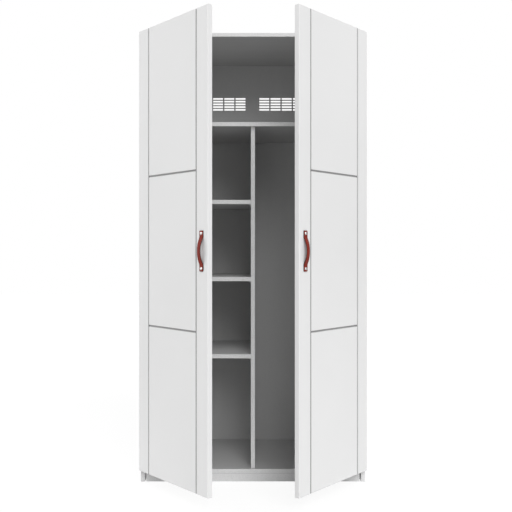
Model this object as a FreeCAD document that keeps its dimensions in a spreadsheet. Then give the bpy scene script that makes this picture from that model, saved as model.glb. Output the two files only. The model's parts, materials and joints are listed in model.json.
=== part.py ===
import FreeCAD, Part
import os
import re
import Sketcher

# A free-standing wardrobe: a boarded carcass with a centre divider, and two doors that each
# swing on four pin hinges. Millimetres. X runs along the width, the doors face -Y, Z is up.
# The origin is on the floor, in the middle of the box around the wardrobe with its doors ajar.

# Every size that can be set by itself, with its value in millimetres or degrees.
SIZES = {
    # carcass
    "overall_width": 1000,
    "overall_height": 2004,
    "carcass_depth": 555,
    "side_thickness": 18,
    "top_thickness": 16,
    "bottom_thickness": 18,
    "base_height": 40,
    "fixed_shelf_thickness": 18,
    "upper_space": 382,
    "divider_thickness": 18,
    "divider_setback": 14,
    "shelf_thickness": 18,
    "shelf_space": 328,
    "shelf_setback": 15,
    "shelf_play": 0.5,
    # back panel and the rail behind it
    "back_thickness": 5,
    "back_inset": 25,
    "back_groove": 7,
    "back_play": 0.2,
    "vent_width": 51,
    "vent_height": 9,
    "vent_pitch_across": 58,
    "vent_pitch_up": 14.1,
    "vent_middle_gap": 72,
    "vent_rise": 183.5,
    "rail_height": 70,
    "wall_hole_radius": 3,
    "wall_hole_offset": 300,
    # plinth and glides
    "glide_thickness": 2,
    "glide_radius": 8,
    "glide_inset": 14,
    "plinth_thickness": 16,
    "plinth_setback": 3,
    "plinth_end_gap": 5.8,
    "block_width": 40,
    "block_depth": 30,
    "block_offset": 330,
    # doors
    "door_thickness": 22,
    "door_gap": 3,
    "door_middle_gap": 3,
    "door_floor_gap": 57,
    "door_edge_round": 2.5,
    "groove_inset": 77,
    "groove_radius": 4.5,
    "door_ajar": 49.1,
    # hinges
    "pin_edge": 5.5,
    "pin_depth": 11,
    "pin_radius": 2.5,
    "pin_fit": 0.02,
    "pin_stand": 0.5,
    "knuckle_radius": 4.5,
    "knuckle_play": 0.06,
    "knuckle_gap": 0.3,
    "pocket_play": 1,
    "leaf_thickness": 2,
    "leaf_height": 60,
    "leaf_gap": 0.5,
    "leaf_reach": 44,
    "hinge_end_space": 93,
    # handles
    "handle_height": 1031,
    "handle_inset": 39,
    "strap_length": 163,
    "strap_width": 25,
    "strap_waist": 20,
    "strap_thickness": 3,
    "strap_bow": 13.5,
    "strap_bow_length": 120,
    "stud_spacing": 140,
    "stud_radius": 6.75,
    "stud_rise": 4,
    "stud_neck_radius": 3,
    "stud_neck_length": 11,
    "handle_screw_radius": 2,
    "handle_screw_head_radius": 4.2,
    "handle_screw_head": 2.5,
    "handle_screw_grip": 6,
    # fittings
    "screw_radius": 1.6,
    "screw_head_radius": 3.4,
    "screw_head": 1.8,
    "hinge_screw_length": 14,
    "screw_margin": 10,
    "long_screw_length": 50,
    "back_screw_length": 25,
    "drill_play": 0.05,
    "dowel_radius": 4,
    "dowel_in_side": 12,
    "dowel_in_board": 20,
    "dowel_spacing": 32,
    "cam_radius": 7.5,
    "cam_height": 12.5,
    "cam_distance": 34,
    "cam_bolt_radius": 3,
    "cam_bolt_in_side": 11,
    "fitting_inset": 60,
    "shelf_pin_radius": 2.5,
    "shelf_pin_in_board": 8,
    "shelf_pin_stand": 9,
    "shelf_pin_inset": 37,
    # catches and bumpers
    "catch_offset": 230,
    "catch_width": 46,
    "catch_depth": 15,
    "catch_height": 14,
    "magnet_width": 30,
    "magnet_height": 6,
    "magnet_depth": 10,
    "magnet_gap": 0.3,
    "strike_width": 40,
    "strike_height": 12,
    "strike_thickness": 1.5,
    "catch_screw_length": 13,
    "catch_screw_spacing": 36,
    "bumper_radius": 3.5,
    "bumper_height": 2.5,
    "bumper_inset": 5,
    "bumper_rise": 30,
}

# Places and lengths that follow from the sizes.
PLACES = {
    # the carcass stands behind its front plane, and the open doors reach out in front of it
    "door_width": "overall_width / 2 - door_middle_gap / 2",
    "pin_x": "overall_width / 2 - pin_edge",
    "door_reach": "door_gap + pin_depth + (door_width - pin_edge) * sin(door_ajar)"
                  " + (door_thickness - pin_depth) * cos(door_ajar)",
    "front": "(door_reach - carcass_depth) / 2",
    "rear": "front + carcass_depth",
    "back_face": "rear - back_inset - back_thickness",
    "pin_y": "front - door_gap - pin_depth",
    "door_back": "front - door_gap",
    "door_face": "door_back - door_thickness",
    "side_outer": "overall_width / 2",
    "side_inner": "overall_width / 2 - side_thickness",
    "ceiling": "overall_height - top_thickness",
    "bottom_top": "base_height + bottom_thickness",
    "fixed_shelf_top": "ceiling - upper_space",
    "fixed_shelf_under": "fixed_shelf_top - fixed_shelf_thickness",
    "divider_face": "divider_thickness / 2",
    "rail_middle": "ceiling - rail_height / 2",
    "door_height": "overall_height - door_floor_gap",
    "free_edge": "door_middle_gap / 2",
    "handle_x": "door_middle_gap / 2 + handle_inset",
    "hinge_low": "door_floor_gap + hinge_end_space - leaf_height / 2",
    "hinge_step": "(door_height - 2 * hinge_end_space) / 3",
    "knuckle_height": "(leaf_height - 2 * knuckle_gap) / 3",
    "leaf_edge": "front - leaf_gap - leaf_thickness",
    "bow_rise": "strap_bow + strap_thickness",
    "bow_radius": "(pow(strap_bow_length / 2; 2) + pow(bow_rise; 2)) / (2 * bow_rise)",
    "waist_depth": "(strap_width - strap_waist) / 2",
    "waist_radius": "(pow(stud_spacing / 2; 2) + pow(waist_depth; 2)) / (2 * waist_depth)",
    "dome_radius": "(pow(stud_radius; 2) + pow(stud_rise; 2)) / (2 * stud_rise)",
    "catch_middle": "ceiling - catch_height / 2",
}

LEFT = -1
RIGHT = 1
SIDES = {"left": LEFT, "right": RIGHT}
HINGES = range(4)
SHELVES = ("upper_small_shelf", "middle_small_shelf", "lower_small_shelf")
VENT_ROWS = 5
VENTS_EACH_SIDE = 4
DOOR_PANELS = 3

TURNS = {
    "+x": FreeCAD.Rotation(FreeCAD.Vector(0, 1, 0), 90),
    "-x": FreeCAD.Rotation(FreeCAD.Vector(0, 1, 0), -90),
    "+y": FreeCAD.Rotation(FreeCAD.Vector(1, 0, 0), -90),
    "-y": FreeCAD.Rotation(FreeCAD.Vector(1, 0, 0), 90),
    "+z": FreeCAD.Rotation(),
    "-z": FreeCAD.Rotation(FreeCAD.Vector(1, 0, 0), 180),
}

doc = FreeCAD.newDocument("wardrobe")
sheet = doc.addObject("Spreadsheet::Sheet", "sizes")
nodes = []


def fill_sheet():
    """Write each size into the sheet, with its name as the cell's alias."""
    for row, (name, value) in enumerate(SIZES.items(), start=1):
        sheet.set("A%d" % row, name)
        sheet.set("B%d" % row, str(value))
        sheet.setAlias("B%d" % row, name)
    doc.recompute()


def spelled(text):
    """Turn size and place names in a formula into references to the sheet's cells."""
    def swap(match):
        word = match.group(0)
        if word in PLACES:
            return "(" + spelled(PLACES[word]) + ")"
        if word in SIZES:
            return "sizes." + word
        return word
    return re.sub(r"[A-Za-z_]+", swap, text)


def bind(obj, **formulas):
    """Bind properties of an object to formulas."""
    for prop, text in formulas.items():
        obj.setExpression(prop, spelled(text))


def put(obj, place, turn="+z"):
    """Turn an object and bind its position to three formulas."""
    obj.Placement = FreeCAD.Placement(FreeCAD.Vector(), TURNS[turn])
    for axis, text in zip("xyz", place):
        obj.setExpression("Placement.Base." + axis, spelled(text))


def box(low, high):
    """A box between two corners."""
    obj = doc.addObject("Part::Box", "box")
    bind(obj, Length="(%s) - (%s)" % (high[0], low[0]), Width="(%s) - (%s)" % (high[1], low[1]),
         Height="(%s) - (%s)" % (high[2], low[2]))
    put(obj, low)
    return obj


def rod(turn, start, radius, length):
    """A cylinder that runs from its start in one direction."""
    obj = doc.addObject("Part::Cylinder", "rod")
    bind(obj, Radius=radius, Height=length)
    put(obj, start, turn)
    return obj


def screw(turn, start, length, spare="0"):
    """A countersunk screw, or with spare, the hole that takes it."""
    head = doc.addObject("Part::Cone", "head")
    bind(head, Radius1="screw_head_radius + " + spare, Radius2="screw_radius + " + spare,
         Height="screw_head")
    put(head, start, turn)
    shank = rod(turn, start, "screw_radius + " + spare, length + " + " + spare)
    return join([head, shank])


def join(parts):
    """Parts fused into one solid."""
    obj = doc.addObject("Part::MultiFuse", "join")
    obj.Shapes = parts
    return obj


def group(parts):
    """Separate solids that share one node."""
    obj = doc.addObject("Part::Compound", "group")
    obj.Links = parts
    return obj


def cut(base, tools):
    """A base with the tools taken out of it."""
    obj = doc.addObject("Part::Cut", "cut")
    obj.Base = base
    obj.Tool = tools[0] if len(tools) == 1 else group(tools)
    return obj


def node(label, obj):
    """Name an object as a sub-part that gets a file."""
    obj.Label = label
    nodes.append(obj)
    return obj


def mirrored(side, text):
    """A place measured from the middle, on one side of the wardrobe."""
    return "(%s)" % text if side == RIGHT else "-(%s)" % text


def outward(side):
    """The direction away from the middle."""
    return "+x" if side == RIGHT else "-x"


def side_box(side, inner, outer, y_span, z_span):
    """A box between two distances from the middle, on one side."""
    ends = [mirrored(side, inner), mirrored(side, outer)][::side]
    return box((ends[0], y_span[0], z_span[0]), (ends[1], y_span[1], z_span[1]))


def hang(obj, side):
    """Turn a door's sub-part about its hinge pins, from shut to ajar."""
    obj.Placement = FreeCAD.Placement(FreeCAD.Vector(), FreeCAD.Rotation(FreeCAD.Vector(0, 0, 1), side))
    pin = mirrored(side, "pin_x")
    angle = mirrored(side, "door_ajar")
    obj.setExpression("Placement.Rotation.Angle", spelled(angle))
    obj.setExpression("Placement.Base.x", spelled(
        "%s * (1 - cos(%s)) + pin_y * sin(%s)" % (pin, angle, angle)))
    obj.setExpression("Placement.Base.y", spelled(
        "pin_y * (1 - cos(%s)) - %s * sin(%s)" % (angle, pin, angle)))
    return obj


# ---- where the fittings go

def board_ends():
    """Height and thickness of the boards that join the side panels."""
    return (
        ("ceiling", "top_thickness"),
        ("fixed_shelf_under", "fixed_shelf_thickness"),
        ("base_height", "bottom_thickness"),
    )


def fitting_rows():
    """Each row of fittings: its place along Y, and the direction of its dowel from its cam."""
    return (("front + fitting_inset", "+"), ("back_face - fitting_inset", "-"))


def bolt_rods(side, start, radius, spare):
    """Rods through the joints between one side panel and the boards, each from a distance to the middle."""
    return [
        rod(outward(side), (mirrored(side, start), y, "%s + (%s) / 2" % (low, thick)), radius,
            "side_inner - (%s) + cam_bolt_in_side + %s" % (start, spare))
        for low, thick in board_ends() for y, _ in fitting_rows()
    ]


def cam_bolts(side):
    """Bolts from one side panel into the ends of the boards, up to their cam locks."""
    start = "side_inner - cam_distance + cam_radius + drill_play"
    return bolt_rods(side, start, "cam_bolt_radius", "0")


def cam_bolt_bores(side):
    """Bores for the cam bolts, run on to the middle of each cam lock's hole."""
    return bolt_rods(side, "side_inner - cam_distance", "cam_bolt_radius + drill_play", "drill_play")


def cam_locks(side, low, spare="0"):
    """Round cam locks let into the underside of a board, at one end of it."""
    return [
        rod("+z", (mirrored(side, "side_inner - cam_distance"), y, low), "cam_radius + " + spare,
            "cam_height + " + spare)
        for y, _ in fitting_rows()
    ]


def board_dowels(side, spare="0"):
    """Dowels beside the cam bolts."""
    return [
        rod(outward(side), (mirrored(side, "side_inner - dowel_in_board - " + spare),
                            "%s %s dowel_spacing" % (y, sign), "%s + (%s) / 2" % (low, thick)),
            "dowel_radius + " + spare, "dowel_in_board + dowel_in_side + 2 * " + spare)
        for low, thick in board_ends() for y, sign in fitting_rows()
    ]


def rail_dowels(side, spare="0"):
    """Two dowels from a side panel into the end of the wall rail."""
    return [
        rod(outward(side), (mirrored(side, "side_inner - dowel_in_board - " + spare),
                            "rear - back_inset / 2", "rail_middle %s rail_height / 4" % sign),
            "dowel_radius + " + spare, "dowel_in_board + dowel_in_side + 2 * " + spare)
        for sign in "+-"
    ]


def shelf_top(index):
    """The top face of a small shelf, counted down from the fixed one."""
    return "fixed_shelf_under - %d * shelf_space - %d * shelf_thickness" % (index + 1, index)


def shelf_pin_places(index):
    """Height and Y places of the pins under a small shelf."""
    height = "%s - shelf_thickness - shelf_pin_radius" % shelf_top(index)
    return [("front + shelf_pin_inset", height), ("back_face - shelf_pin_inset", height)]


def shelf_pins_in_side(spare="0"):
    """Pins that stand out of the left side panel."""
    return [
        rod("+x", ("-(side_inner) - shelf_pin_in_board - " + spare, y, z), "shelf_pin_radius + " + spare,
            "shelf_pin_in_board + shelf_pin_stand + " + spare)
        for index in range(len(SHELVES)) for y, z in shelf_pin_places(index)
    ]


def shelf_pins_in_divider(spare="0"):
    """Pins that stand out of the divider's left face."""
    return [
        rod("-x", ("-(divider_face) + shelf_pin_in_board + " + spare, y, z), "shelf_pin_radius + " + spare,
            "shelf_pin_in_board + shelf_pin_stand + " + spare)
        for index in range(len(SHELVES)) for y, z in shelf_pin_places(index)
    ]


def divider_screws(spare="0"):
    """Screws into the divider, up through the bottom board and down through the fixed shelf."""
    rows = ("front + fitting_inset", "back_face - fitting_inset")
    up = [screw("+z", ("0", y, "base_height"), "long_screw_length", spare) for y in rows]
    down = [screw("-z", ("0", y, "fixed_shelf_top"), "long_screw_length", spare) for y in rows]
    return up + down


def back_screws(spare="0"):
    """Screws through the back panel into the rear edges of the divider and the fixed shelf."""
    rear_face = "back_face + back_thickness"
    into_divider = [
        screw("-y", ("0", rear_face, "bottom_top + (fixed_shelf_under - bottom_top) * %d / 4" % quarter),
              "back_screw_length", spare)
        for quarter in (1, 3)
    ]
    into_shelf = [
        screw("-y", (mirrored(side, "side_inner / 2"), rear_face,
                     "fixed_shelf_top - fixed_shelf_thickness / 2"), "back_screw_length", spare)
        for side in (LEFT, RIGHT)
    ]
    return into_divider + into_shelf


def wall_holes():
    """Holes for the screws that hold the wardrobe to a wall."""
    return [
        rod("+y", (mirrored(side, "wall_hole_offset"), "back_face", "rail_middle"),
            "wall_hole_radius", "back_thickness + back_inset")
        for side in (LEFT, RIGHT)
    ]


def catch_screws(spare="0"):
    """Screws that hold each catch up to the top board."""
    return [
        screw("+z", ("%s %s catch_screw_spacing / 2" % (mirrored(side, "catch_offset"), sign),
                     "front + catch_depth / 2 + pocket_play", "ceiling - catch_height"),
              "catch_height + catch_screw_length", spare)
        for side in (LEFT, RIGHT) for sign in "+-"
    ]


# ---- where the hinges go

def hinge_foot(index):
    """The lower end of one hinge's leaves."""
    return "hinge_low + %d * hinge_step" % index


def frame_screws(side, spare="0"):
    """Screws that hold the frame leaves to a side panel: three in each leaf, the middle one deeper in."""
    rows = [(z, "front + 2 * screw_margin") for z in ("screw_margin", "leaf_height - screw_margin")]
    rows.append(("leaf_height / 2", "front + leaf_reach - screw_margin"))
    return [
        screw(outward(side), (mirrored(side, "side_inner - leaf_thickness"), y,
                              "%s + %s" % (hinge_foot(index), z)), "hinge_screw_length", spare)
        for index in HINGES for z, y in rows
    ]


def door_screws(side, spare="0"):
    """Screws that hold the door leaves to a door: three in each leaf, the middle one further in."""
    rows = [(z, "pin_x - 2 * screw_margin") for z in ("screw_margin", "leaf_height - screw_margin")]
    rows.append(("leaf_height / 2", "pin_x - leaf_reach + screw_margin"))
    return [
        screw("-y", (mirrored(side, x), "door_back", "%s + %s" % (hinge_foot(index), z)),
              "hinge_screw_length", spare)
        for index in HINGES for z, x in rows
    ]


def strike_screws(side, spare="0"):
    """Two screws in the strike plate on a door."""
    return [
        screw("-y", ("%s %s strike_width / 3" % (mirrored(side, "catch_offset"), sign),
                     "door_back + strike_thickness", "catch_middle"), "hinge_screw_length", spare)
        for sign in "+-"
    ]


def knuckle(side, index, order, bore):
    """One of the three knuckles of a hinge, as a plain barrel, and the bore through it."""
    foot = "%s + %d * (knuckle_height + knuckle_gap)" % (hinge_foot(index), order)
    place = (mirrored(side, "pin_x"), "pin_y", foot)
    return rod("+z", place, "knuckle_radius", "knuckle_height"), rod("+z", place, bore, "knuckle_height")


# ---- the carcass

def side_panel(name, side):
    panel = side_box(side, "side_inner", "side_outer", ("front", "rear"),
                     ("glide_thickness", "overall_height"))
    groove = side_box(side, "side_inner", "side_inner + back_groove",
                      ("back_face - back_play", "back_face + back_thickness + back_play"),
                      ("bottom_top - back_groove", "ceiling + back_groove"))
    holes = cam_bolt_bores(side) + board_dowels(side, "drill_play")
    holes += rail_dowels(side, "drill_play") + frame_screws(side, "drill_play")
    if side == LEFT:
        holes += shelf_pins_in_side("drill_play")
    node(name, cut(panel, [groove] + holes))


def joined_board(name, y_end, low, thick, groove, extra):
    """A board between the side panels, with its cams, bolts and dowels let in."""
    board = box(("-(side_inner)", "front", low), ("side_inner", y_end, "%s + (%s)" % (low, thick)))
    tools = list(extra)
    if groove:
        tools.append(box(("-(side_inner)", "back_face - back_play", groove[0]),
                         ("side_inner", "back_face + back_thickness + back_play", groove[1])))
    for side in (LEFT, RIGHT):
        tools += cam_locks(side, low, "drill_play")
        tools += cam_bolt_bores(side)
        tools += board_dowels(side, "drill_play")
    node(name, cut(board, tools))


def boards():
    joined_board("top_board", "rear", "ceiling", "top_thickness",
                 ("ceiling", "ceiling + back_groove"), catch_screws("drill_play"))
    joined_board("upper_shelf", "back_face", "fixed_shelf_under", "fixed_shelf_thickness",
                 None, divider_screws("drill_play") + back_screws("drill_play"))
    joined_board("bottom_board", "rear", "base_height", "bottom_thickness",
                 ("bottom_top - back_groove", "bottom_top"),
                 divider_screws("drill_play") + plinth_screws("drill_play"))
    divider = box(("-(divider_face)", "front + divider_setback", "bottom_top"),
                  ("divider_face", "back_face", "fixed_shelf_under"))
    node("centre_divider", cut(divider, divider_screws("drill_play") + back_screws("drill_play")
                               + shelf_pins_in_divider("drill_play")))


def small_shelves():
    """The three loose shelves. Each clears the hinge leaves on the side panel by its play."""
    for index, name in enumerate(SHELVES):
        top = shelf_top(index)
        node(name, box(
            ("-(side_inner) + leaf_thickness + shelf_play", "front + shelf_setback",
             top + " - shelf_thickness"),
            ("-(divider_face) - shelf_play", "back_face - shelf_play", top)))


def back_panel():
    reach = "side_inner + back_groove - back_play"
    panel = box(("-(%s)" % reach, "back_face", "bottom_top - back_groove + back_play"),
                (reach, "back_face + back_thickness", "ceiling + back_groove - back_play"))
    vents = []
    for side in (LEFT, RIGHT):
        for column in range(VENTS_EACH_SIDE):
            for row in range(VENT_ROWS):
                inner = "vent_middle_gap / 2 + %d * vent_pitch_across" % column
                middle = "fixed_shelf_top + vent_rise + %d * vent_pitch_up" % (row - VENT_ROWS // 2)
                vents.append(side_box(side, inner, inner + " + vent_width",
                                      ("back_face", "back_face + back_thickness"),
                                      (middle + " - vent_height / 2", middle + " + vent_height / 2")))
    node("back_panel", cut(panel, vents + wall_holes() + back_screws("drill_play")))


def wall_rail():
    rail = box(("-(side_inner)", "rear - back_inset", "ceiling - rail_height"),
               ("side_inner", "rear", "ceiling"))
    dowels = rail_dowels(LEFT, "drill_play") + rail_dowels(RIGHT, "drill_play")
    node("wall_rail", cut(rail, wall_holes() + dowels))


def block_places():
    return ("-(block_offset)", "0", "block_offset")


def plinth_screws(spare="0"):
    """Screws up from each block into the bottom board, and forward into the plinth."""
    block_front = "front + plinth_setback + plinth_thickness"
    up = [
        screw("+z", ("%s + block_width / 4" % x, block_front + " + block_depth / 2", "glide_thickness"),
              "long_screw_length", spare)
        for x in block_places()
    ]
    forward = [
        screw("-y", ("%s - block_width / 4" % x, block_front + " + block_depth",
                     "(glide_thickness + base_height) / 2"),
              "block_depth + plinth_thickness * 3 / 4", spare)
        for x in block_places()
    ]
    return up + forward


def plinth():
    board_front = "front + plinth_setback"
    reach = "side_inner - plinth_end_gap"
    board = box(("-(%s)" % reach, board_front, "glide_thickness"),
                (reach, board_front + " + plinth_thickness", "base_height"))
    node("plinth", cut(board, plinth_screws("drill_play")))
    block_front = board_front + " + plinth_thickness"
    blocks = [
        cut(box(("%s - block_width / 2" % x, block_front, "glide_thickness"),
                ("%s + block_width / 2" % x, block_front + " + block_depth", "base_height")),
            plinth_screws("drill_play"))
        for x in block_places()
    ]
    node("plinth_blocks", group(blocks))
    node("plinth_screws", group(plinth_screws()))


def floor_glides():
    """A disc under each corner of the side panels."""
    node("floor_glides", group([
        rod("+z", (mirrored(side, "side_outer - side_thickness / 2"), y, "0"),
            "glide_radius", "glide_thickness")
        for side in (LEFT, RIGHT) for y in ("front + glide_inset", "rear - glide_inset")
    ]))


def carcass_fittings():
    node("cam_bolts", group(cam_bolts(LEFT) + cam_bolts(RIGHT)))
    locks = []
    for low, _ in board_ends():
        locks += cam_locks(LEFT, low) + cam_locks(RIGHT, low)
    node("cam_locks", group(locks))
    node("board_dowels", group(board_dowels(LEFT) + board_dowels(RIGHT)))
    node("rail_dowels", group(rail_dowels(LEFT) + rail_dowels(RIGHT)))
    node("divider_screws", group(divider_screws()))
    node("back_panel_screws", group(back_screws()))
    node("shelf_pins", group(shelf_pins_in_side() + shelf_pins_in_divider()))


def catches():
    """Magnetic catches under the top board, one for each door."""
    housings = []
    magnets = []
    for side in (LEFT, RIGHT):
        middle = mirrored(side, "catch_offset")
        magnet_front = "front - door_gap + strike_thickness + magnet_gap"
        body = box(("%s - catch_width / 2" % middle, "front + pocket_play", "ceiling - catch_height"),
                   ("%s + catch_width / 2" % middle, "front + pocket_play + catch_depth", "ceiling"))
        magnet_rear = magnet_front + " + magnet_depth"
        slot = box(("%s - magnet_width / 2 - drill_play" % middle, "front",
                    "catch_middle - magnet_height / 2 - drill_play"),
                   ("%s + magnet_width / 2 + drill_play" % middle, magnet_rear + " + drill_play",
                    "catch_middle + magnet_height / 2 + drill_play"))
        housings.append(cut(body, [slot] + catch_screws("drill_play")))
        magnets.append(box(
            ("%s - magnet_width / 2" % middle, magnet_front, "catch_middle - magnet_height / 2"),
            ("%s + magnet_width / 2" % middle, magnet_rear, "catch_middle + magnet_height / 2")))
    node("catch_housings", group(housings))
    node("catch_magnets", group(magnets))
    node("catch_screws", group(catch_screws()))


# ---- the hinges

def frame_leaf(side, index):
    """A leaf that wraps from the hinge pin, round the side panel's front edge, onto its inner face."""
    foot = hinge_foot(index)
    lower, lower_bore = knuckle(side, index, 0, "pin_radius + pin_fit")
    upper, upper_bore = knuckle(side, index, 2, "pin_radius + pin_fit")
    half = "leaf_thickness / 2"
    necks = []
    for order in (0, 2):
        low = "%s + %d * (knuckle_height + knuckle_gap)" % (foot, order)
        necks.append(side_box(side, "pin_x - " + half, "pin_x + " + half, ("pin_y", "front - leaf_gap"),
                              (low, low + " + knuckle_height")))
    span = (foot, foot + " + leaf_height")
    step = side_box(side, "side_inner - leaf_thickness", "pin_x + " + half,
                    ("leaf_edge", "front - leaf_gap"), span)
    plate = side_box(side, "side_inner - leaf_thickness", "side_inner",
                     ("leaf_edge", "front + leaf_reach"), span)
    return cut(join([lower, upper, step, plate] + necks), [lower_bore, upper_bore])


def door_leaf(side, index):
    """A leaf that steps from the hinge pin into the door's back face."""
    foot = hinge_foot(index)
    barrel, bore = knuckle(side, index, 1, "pin_radius + knuckle_play")
    low = "%s + knuckle_height + knuckle_gap" % foot
    outer = "pin_x - knuckle_radius + leaf_thickness"
    neck = side_box(side, "pin_x - knuckle_radius", outer, ("pin_y", "door_back"),
                    (low, low + " + knuckle_height"))
    plate = side_box(side, "pin_x - leaf_reach", outer, ("door_back - leaf_thickness", "door_back"),
                     (foot, foot + " + leaf_height"))
    return cut(join([barrel, neck, plate]), [bore])


def hinges(name, side):
    frame = [frame_leaf(side, index) for index in HINGES]
    node(name + "_hinge_frame_leaves", cut(group(frame), frame_screws(side, "drill_play")))
    door = [door_leaf(side, index) for index in HINGES]
    leaves = cut(group(door), door_screws(side, "drill_play"))
    node(name + "_hinge_door_leaves", hang(leaves, side))
    node(name + "_hinge_pins", group([
        rod("+z", (mirrored(side, "pin_x"), "pin_y", hinge_foot(index) + " - pin_stand"),
            "pin_radius", "leaf_height + 2 * pin_stand")
        for index in HINGES
    ]))
    node(name + "_hinge_frame_screws", group(frame_screws(side)))
    node(name + "_hinge_door_screws", hang(group(door_screws(side)), side))


# ---- the doors

def door_slab(side):
    """A flat board whose front edges are rounded over."""
    body = doc.addObject("PartDesign::Body", "door_body")
    sketch = body.newObject("Sketcher::SketchObject", "door_outline")
    plane = [item for item in body.Origin.OriginFeatures if item.Role == "XZ_Plane"][0]
    sketch.AttachmentSupport = (plane, [""])
    sketch.MapMode = "FlatFace"
    corners = [FreeCAD.Vector(*xy) for xy in ((0, 0, 0), (1, 0, 0), (1, 1, 0), (0, 1, 0))]
    for start, end in zip(corners, corners[1:] + corners[:1]):
        sketch.addGeometry(Part.LineSegment(start, end), False)
    for line in range(4):
        sketch.addConstraint(Sketcher.Constraint("Coincident", line, 2, (line + 1) % 4, 1))
    sketch.addConstraint(Sketcher.Constraint("Coincident", 0, 1, -1, 1))
    for line in (0, 2):
        sketch.addConstraint(Sketcher.Constraint("Horizontal", line))
    for line in (1, 3):
        sketch.addConstraint(Sketcher.Constraint("Vertical", line))
    width = sketch.addConstraint(Sketcher.Constraint("DistanceX", 0, 1, 0, 2, 1))
    height = sketch.addConstraint(Sketcher.Constraint("DistanceY", 1, 1, 1, 2, 1))
    sketch.setExpression("Constraints[%d]" % width, spelled("door_width"))
    sketch.setExpression("Constraints[%d]" % height, spelled("door_height"))
    pad = body.newObject("PartDesign::Pad", "door_board")
    pad.Profile = sketch
    bind(pad, Length="door_thickness")
    doc.recompute()
    faces = pad.Shape.Faces
    front_face = min(range(len(faces)), key=lambda number: faces[number].CenterOfMass.y)
    rounding = body.newObject("PartDesign::Fillet", "door_rounding")
    rounding.Base = (pad, ["Face%d" % (front_face + 1)])
    bind(rounding, Radius="door_edge_round")
    left_end = "free_edge" if side == RIGHT else "-(side_outer)"
    put(body, (left_end, "door_back", "door_floor_gap"))
    return body


def door_grooves(side):
    """Half-round grooves on a door's face: two of full height, with short ones between them."""
    near = "free_edge + groove_inset"
    far = "side_outer - groove_inset"
    tools = [
        rod("+z", (mirrored(side, x), "door_face", "door_floor_gap"), "groove_radius", "door_height")
        for x in (near, far)
    ]
    for row in range(1, DOOR_PANELS):
        z = "door_floor_gap + door_height * %d / %d" % (row, DOOR_PANELS)
        tools.append(rod(outward(side), (mirrored(side, near), "door_face", z), "groove_radius",
                         "(%s) - (%s)" % (far, near)))
    return tools


def hinge_recesses(side):
    """For each hinge, a pocket in a door's edge for the knuckles and a shallow seat for the leaf."""
    tools = []
    for index in HINGES:
        foot = hinge_foot(index)
        span = (foot + " - pocket_play", foot + " + leaf_height + pocket_play")
        tools.append(side_box(side, "pin_x - knuckle_radius - pocket_play", "side_outer",
                              ("pin_y - knuckle_radius - pocket_play", "door_back"), span))
        tools.append(side_box(side, "pin_x - leaf_reach - drill_play", "side_outer",
                              ("door_back - leaf_thickness", "door_back"),
                              (foot + " - drill_play", foot + " + leaf_height + drill_play")))
    return tools


def handle_ends():
    return ("handle_height - stud_spacing / 2", "handle_height + stud_spacing / 2")


def handle_holes(side):
    """Stepped holes through a door for the handle's studs and screws."""
    tools = []
    for z in handle_ends():
        middle = mirrored(side, "handle_x")
        tools.append(rod("+y", (middle, "door_face", z), "stud_neck_radius + drill_play",
                         "stud_neck_length - strap_thickness + drill_play"))
        tools.append(rod("+y", (middle, "door_face", z), "handle_screw_radius + drill_play",
                         "door_thickness"))
    return tools


def door(name, side):
    tools = door_grooves(side) + hinge_recesses(side) + handle_holes(side)
    tools += door_screws(side, "drill_play") + strike_screws(side, "drill_play")
    node(name + "_door_panel", hang(cut(door_slab(side), tools), side))


def handle(name, side):
    """A bowed strap, held at each end by a domed stud and a screw from behind the door."""
    middle = mirrored(side, "handle_x")
    half = "strap_width / 2"
    low_x = "%s - %s" % (middle, half)
    tab = box((low_x, "door_face - strap_thickness", "handle_height - strap_length / 2"),
              ("%s + %s" % (middle, half), "door_face", "handle_height + strap_length / 2"))
    axis = (low_x, "door_face - bow_rise + bow_radius", "handle_height")
    outer = rod("+x", axis, "bow_radius", "strap_width")
    inner = rod("+x", axis, "bow_radius - strap_thickness", "strap_width")
    behind = box((low_x, "door_face", "handle_height - bow_radius"),
                 ("%s + %s" % (middle, half), "door_face + 2 * bow_radius", "handle_height + bow_radius"))
    waists = [
        rod("+y", ("%s %s (strap_waist / 2 + waist_radius)" % (middle, sign), "door_face - bow_rise",
                   "handle_height"), "waist_radius", "bow_rise")
        for sign in "+-"
    ]
    stud_holes = [
        rod("-y", (middle, "door_face", z), "stud_neck_radius + drill_play", "strap_thickness")
        for z in handle_ends()
    ]
    bow = cut(outer, [behind])
    strap = cut(join([tab, bow]), [inner] + waists + stud_holes)
    node(name + "_handle_strap", hang(strap, side))

    studs = []
    screws = []
    grip = "stud_neck_length - strap_thickness"
    for z in handle_ends():
        dome = doc.addObject("Part::Sphere", "dome")
        bind(dome, Radius="dome_radius", Angle1="asin((dome_radius - stud_rise) / dome_radius)")
        put(dome, (middle, "door_face - strap_thickness - stud_rise + dome_radius", z), "-y")
        neck = rod("+y", (middle, "door_face - strap_thickness", z), "stud_neck_radius", "stud_neck_length")
        thread = rod("-y", (middle, "door_face + " + grip, z), "handle_screw_radius + pin_fit",
                     "handle_screw_grip + drill_play")
        studs.append(cut(join([dome, neck]), [thread]))
        head = rod("+y", (middle, "door_back", z), "handle_screw_head_radius", "handle_screw_head")
        shank = rod("-y", (middle, "door_back", z), "handle_screw_radius",
                    "door_thickness - (%s) + handle_screw_grip" % grip)
        screws.append(join([head, shank]))
    node(name + "_handle_studs", hang(group(studs), side))
    node(name + "_handle_screws", hang(group(screws), side))


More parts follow.
